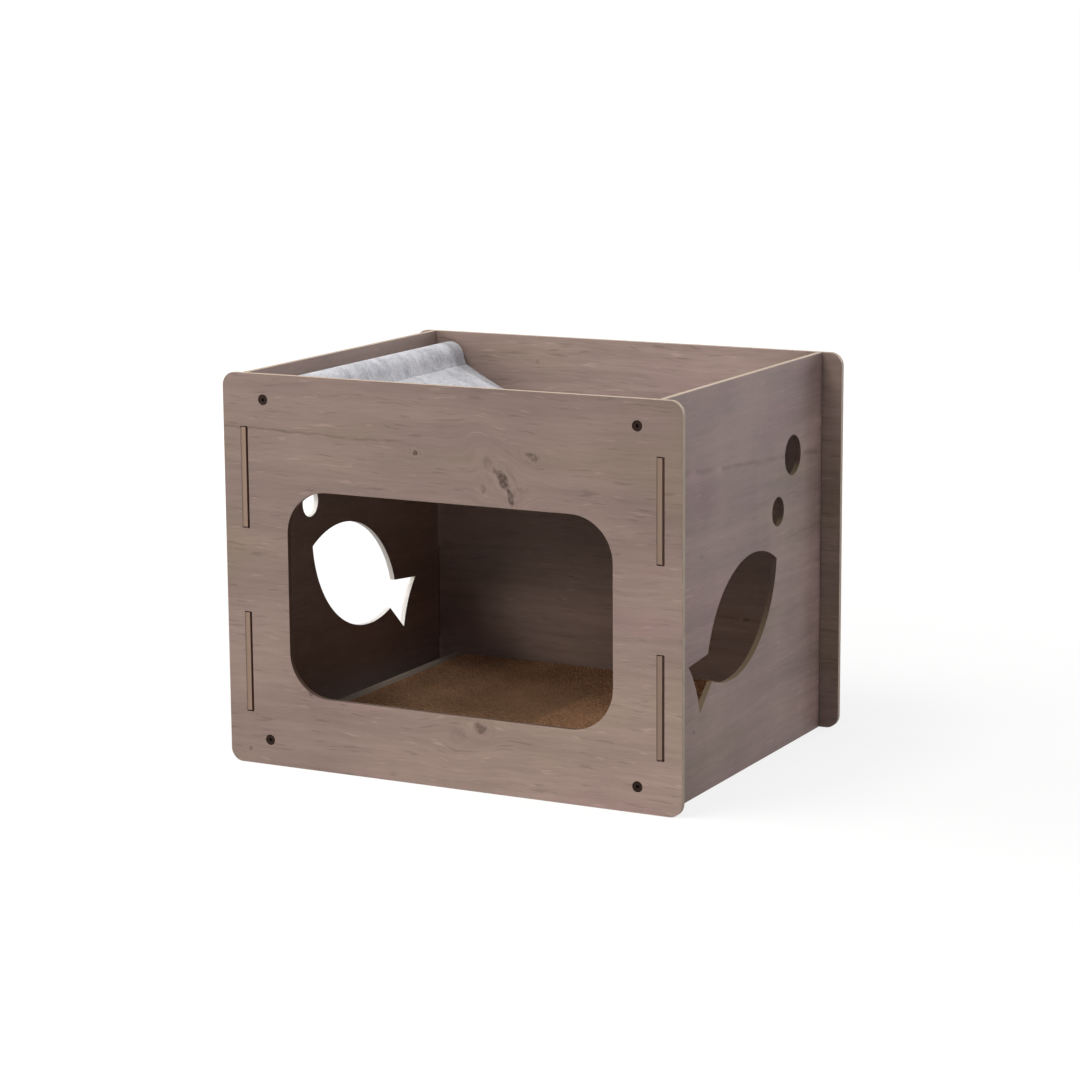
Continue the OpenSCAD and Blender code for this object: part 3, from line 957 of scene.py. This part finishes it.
def make_pad(pad):
    low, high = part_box(pad.node)
    draw = random.Random(pad.seed)
    mesh = bmesh.new()
    layers = round((high.x - low.x - LINER) / FLUTE)
    pitch = (high.x - low.x - LINER) / layers
    length = high.y - low.y
    waves = length / WAVE
    steps = round(waves * WAVE_POINTS)
    inset = Vector((LINER, CORE_INSET, 0.0))
    add_block(mesh, low + inset, high - inset - Vector((0.0, 0.0, pad.crush)))
    for i in range(layers + 1):
        x = low.x + LINER / 2 + i * pitch
        points = [Vector((x, low.y + length * k / LINER_STEPS)) for k in range(LINER_STEPS + 1)]
        tops = [high.z - draw.uniform(*LINER_WEAR) * pad.wear for _ in points]
        add_ribbon(mesh, points, LINER, low.z, tops)
    swing = (pitch - LINER - FLUTING) / 2
    for i in range(layers):
        x = low.x + LINER / 2 + (i + 0.5) * pitch
        phase = draw.uniform(0, 2 * math.pi)
        points = []
        tops = []
        for k in range(steps + 1):
            share = k / steps
            side = swing * math.sin(2 * math.pi * waves * share + phase)
            points.append(Vector((x + side, low.y + length * share)))
            tops.append(high.z - draw.uniform(*FLUTE_WEAR) * pad.wear)
        add_ribbon(mesh, points, FLUTING, low.z, tops)
    bmesh.ops.recalc_face_normals(mesh, faces=mesh.faces)
    piece = mesh_object(pad.node + "_layers", mesh, card_material(pad), smooth=False)
    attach(piece, pad.body)
    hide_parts(pad.node)


def card_material(pad):
    material, graph = new_graph(pad.card)
    where = graph.place()
    fibres = graph.noise(where, CARD_FIBRES, pad.card_seed)
    specks = graph.noise(where, CARD_SPECKS, pad.card_seed)
    patches = graph.noise(where, CARD_PATCHES, pad.card_seed)
    mixed = graph.total(
        graph.times(fibres, CARD_FIBRE_SHARE),
        graph.times(specks, CARD_SPECK_SHARE),
        graph.times(patches, CARD_PATCH_SHARE),
    )
    pale = graph.step(mixed, CARD_MIDDLE - pad.spread, CARD_MIDDLE + pad.spread)
    colour = graph.mix(pale, KRAFT_DARK, KRAFT_PALE)
    value = graph.math("ADD", graph.swing(patches, CARD_PATCH_SWING), pad.level)
    graph.surface(
        Base_Color=graph.shade(colour, value),
        Roughness=graph.step(fibres, *CARD_ROUGHNESS),
        Normal=graph.bump(fibres, CARD_DEPTH, CARD_STRENGTH),
        Specular_IOR_Level=CARD_SPECULAR,
    )
    return material


def make_pads():
    for pad in PADS:
        make_pad(pad)


# Stage: a pale floor, white surroundings and soft light

FLOOR_R = 60.0
FLOOR_SEGMENTS = 64
FLOOR_GLOW = 0.80
FLOOR_NEAR = 0.6
FLOOR_FAR = 1.6
FLOOR_SHADE = 0.20
FLOOR_BOUNCE = 0.35
AMBIENT = (0.95, 0.97, 1.0)
AMBIENT_STRENGTH = 0.004
BOX_AWAY = 2.6
BOX_SIDE = 1.2
# Softboxes: azimuth and elevation in degrees, watts and colour
SOFTBOXES = (
    ("key", -30.0, 65.0, 40.0, (1.0, 0.99, 0.98)),
    ("front_right", 15.0, 40.0, 8.0, (0.985, 1.0, 1.02)),
    ("front", -10.0, 40.0, 5.5, (1.0, 0.99, 0.98)),
    ("front_left", -50.0, 15.0, 18.5, (1.0, 0.95, 0.90)),
    ("left_low", -70.0, 15.0, 27.0, (1.0, 0.91, 0.82)),
    ("left", -90.0, 40.0, 18.0, (1.0, 0.99, 0.98)),
    ("right", 100.0, 40.0, 17.5, (1.0, 0.985, 0.975)),
    ("back_right", 160.0, 15.0, 22.0, (1.0, 0.97, 0.99)),
)
LIGHT_CENTRE = Vector((0.0, 0.0, 0.18))


def seen_rays(graph):
    """1 for rays that show the surroundings themselves, 0 for rays that carry light."""
    path = graph.add("LightPath").outputs
    seen = graph.math("MAXIMUM", path["Is Camera Ray"], path["Is Glossy Ray"])
    return graph.math("MAXIMUM", seen, path["Is Transmission Ray"])


def make_world():
    world = bpy.data.worlds.new("studio")
    world.use_nodes = True
    bpy.context.scene.world = world
    graph = Graph(world.node_tree)
    light = graph.add("Background", {"Color": AMBIENT, "Strength": AMBIENT_STRENGTH})
    white = graph.add("Background", {"Color": WHITE, "Strength": 1.0})
    both = graph.add("MixShader", {0: seen_rays(graph), 1: light.outputs[0], 2: white.outputs[0]})
    graph.add("OutputWorld", {"Surface": both.outputs[0]})


def make_floor():
    material, graph = new_graph("floor")
    bounce = graph.add("BsdfDiffuse", {"Color": (FLOOR_BOUNCE,) * 3})
    matt = graph.add("BsdfDiffuse", {"Color": (FLOOR_SHADE,) * 3})
    away = graph.add("VectorMath", {0: graph.place()}, operation="LENGTH").outputs["Value"]
    level = graph.step(away, FLOOR_NEAR, FLOOR_FAR, FLOOR_GLOW, 1.0)
    glow = graph.add("Emission", {"Color": WHITE, "Strength": level})
    shown = graph.add("AddShader", {0: matt.outputs[0], 1: glow.outputs[0]})
    both = graph.add("MixShader", {0: seen_rays(graph), 1: bounce.outputs[0], 2: shown.outputs[0]})
    graph.add("OutputMaterial", {"Surface": both.outputs[0]})
    mesh = bmesh.new()
    bmesh.ops.create_circle(mesh, cap_ends=True, segments=FLOOR_SEGMENTS, radius=FLOOR_R)
    floor = mesh_object("floor", mesh, material, smooth=False)


def make_lights():
    for name, azimuth, elevation, watts, colour in SOFTBOXES:
        data = bpy.data.lights.new(name, "AREA")
        data.shape = "SQUARE"
        data.size = BOX_SIDE
        data.energy = watts
        data.color = colour
        lamp = bpy.data.objects.new(name, data)
        bpy.context.scene.collection.objects.link(lamp)
        right, up, forward = view_axes(math.radians(azimuth), math.radians(elevation), 0.0)
        turn = Matrix((right, up, -forward)).transposed().to_4x4()
        lamp.matrix_world = Matrix.Translation(LIGHT_CENTRE - forward * BOX_AWAY) @ turn


make_camera()
dress_boards()
dress_hardware()
make_hammock()
make_pads()
make_world()
make_floor()
make_lights()
bpy.context.scene.view_settings.view_transform = "Standard"
